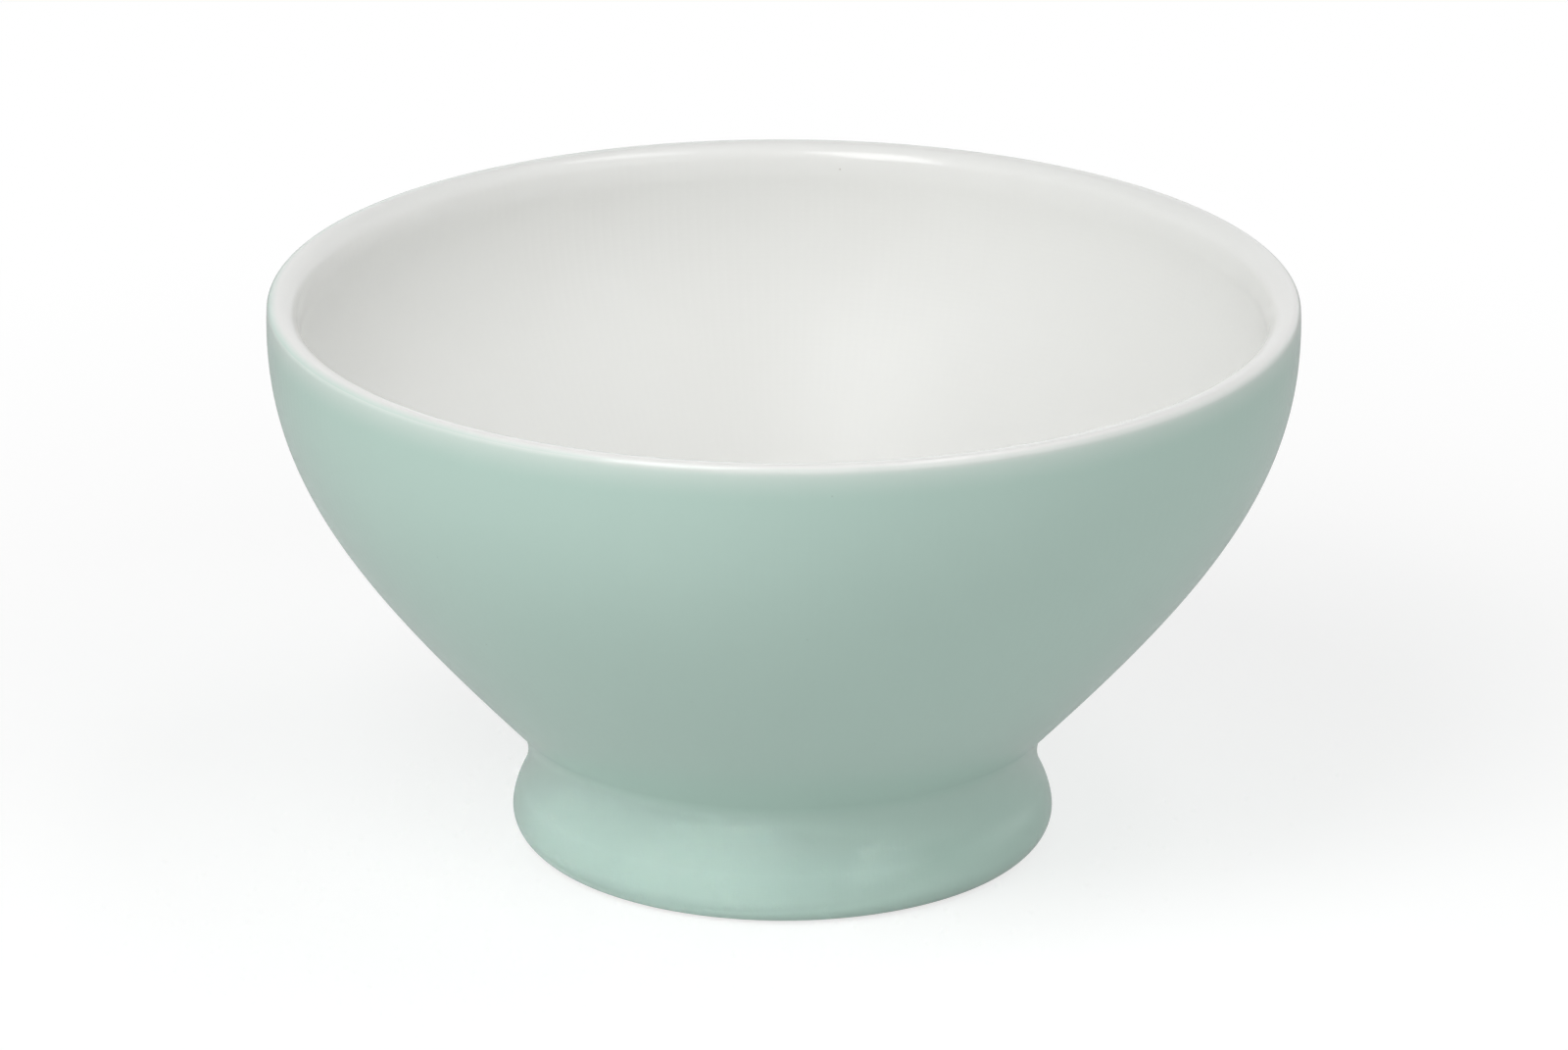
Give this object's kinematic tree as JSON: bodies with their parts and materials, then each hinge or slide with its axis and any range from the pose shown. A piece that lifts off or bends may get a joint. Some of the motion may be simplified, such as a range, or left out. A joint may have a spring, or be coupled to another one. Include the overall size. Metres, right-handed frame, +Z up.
{
  "type": "latte bowl",
  "caption": "Round footed bowl for milky coffee, mint glaze outside and white inside, on a flared hollow foot ring.",
  "frame": {"origin": "middle of the bare ring that the bowl stands on, on the table", "axes": "+Z up along the axis that every piece is turned about; the bowl is alike all round, so +X and +Y are free"},
  "size_m": [0.14, 0.14, 0.0775],
  "materials": {
    "china": "bare fired white china, fine-grained and matt",
    "slip": "fired joining slip, matt, hidden under the glaze",
    "mint_glaze": "opaque pale mint glaze, smooth and softly glossy",
    "white_glaze": "opaque white glaze, smooth and glossy"
  },
  "bodies": {
    "root": {"bowl_wall": "china", "foot_ring": "china", "joint_slip": "slip", "outer_glaze": "mint_glaze", "inner_glaze": "white_glaze", "well_glaze": "mint_glaze"}
  },
  "joints": []
}
